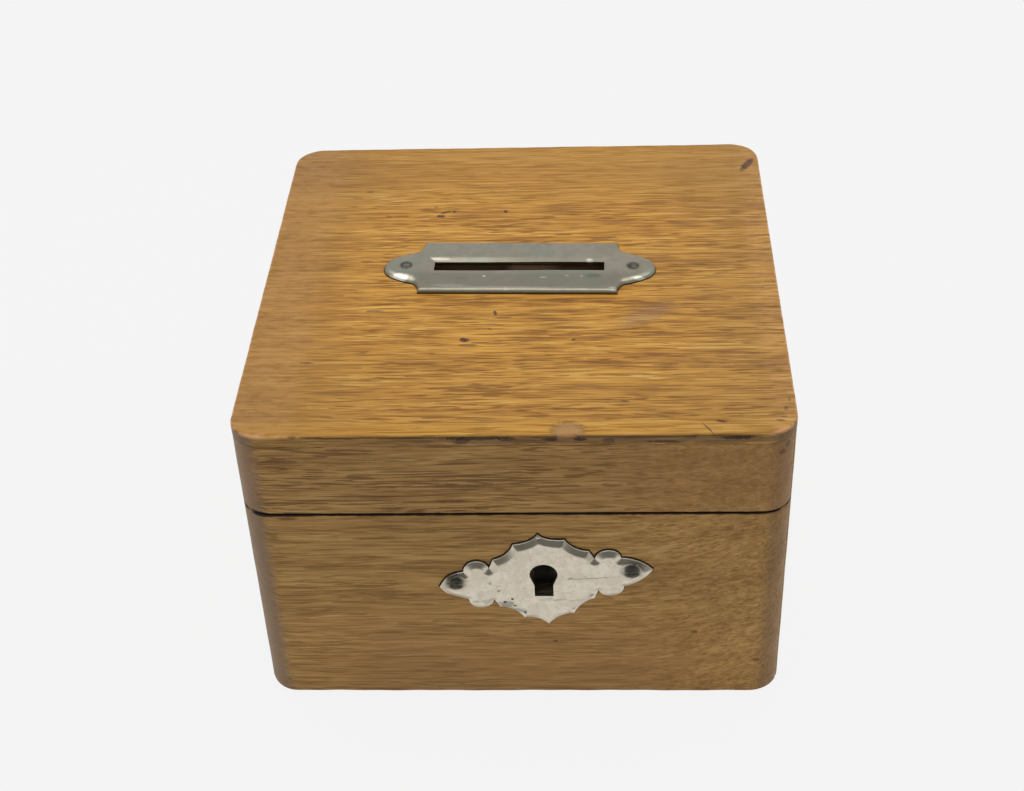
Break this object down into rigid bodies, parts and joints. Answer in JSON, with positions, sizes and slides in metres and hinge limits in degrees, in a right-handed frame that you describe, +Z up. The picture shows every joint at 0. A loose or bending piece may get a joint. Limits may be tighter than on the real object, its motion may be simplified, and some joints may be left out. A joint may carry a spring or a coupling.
{
  "type": "wooden coin box",
  "caption": "Small square oak coin box: lapped walls, hinged lid with a metal coin-slot plate, box lock behind a scalloped keyhole plate.",
  "frame": {"origin": "middle of the flat underside", "axes": "+X to the right seen from the front, +Y towards the hinges at the back, +Z up"},
  "size_m": [0.12, 0.1237, 0.0798],
  "materials": {
    "oak": "oiled and worn",
    "plated_steel": "pressed, dull plated",
    "white_metal": "worn nickel plate",
    "dark_iron": "tarnished",
    "brass": "aged",
    "lock_steel": "sheared sheet",
    "lock_brass": "cut brass"
  },
  "bodies": {
    "base": {"base_front": "oak", "base_back": "oak", "base_left": "oak", "base_right": "oak", "base_bottom": "oak", "keyhole_escutcheon": "white_metal", "escutcheon_pins": "dark_iron", "hinge_left_base_leaf": "brass", "hinge_left_pin": "brass", "hinge_right_base_leaf": "brass", "hinge_right_pin": "brass", "hinge_base_screws": "brass", "lock_plate": "lock_steel", "lock_cap": "lock_steel", "bolt_guide_stud": "lock_brass", "bolt_spring": "lock_steel", "lock_key_post": "dark_iron", "lock_ward": "lock_steel", "lock_screws": "lock_steel"},
    "lid": {"lid_front": "oak", "lid_back": "oak", "lid_left": "oak", "lid_right": "oak", "lid_top": "oak", "coin_slot_plate": "plated_steel", "slot_plate_pins": "dark_iron", "hinge_left_lid_leaf": "brass", "hinge_right_lid_leaf": "brass", "hinge_lid_screws": "brass", "link_plate": "lock_steel", "link_plate_screws": "lock_steel"},
    "bolt": {"lock_bolt": "lock_brass"}
  },
  "joints": [
    {"name": "lid_hinge", "type": "hinge", "parent": "base", "child": "lid", "pos_m": [0, 0.061, 0.0561], "axis": [-1, 0, 0], "range_deg": [0, 180]},
    {"name": "bolt_slide", "type": "slide", "parent": "base", "child": "bolt", "axis": [1, 0, 0], "range_m": [0, 0.005]}
  ]
}
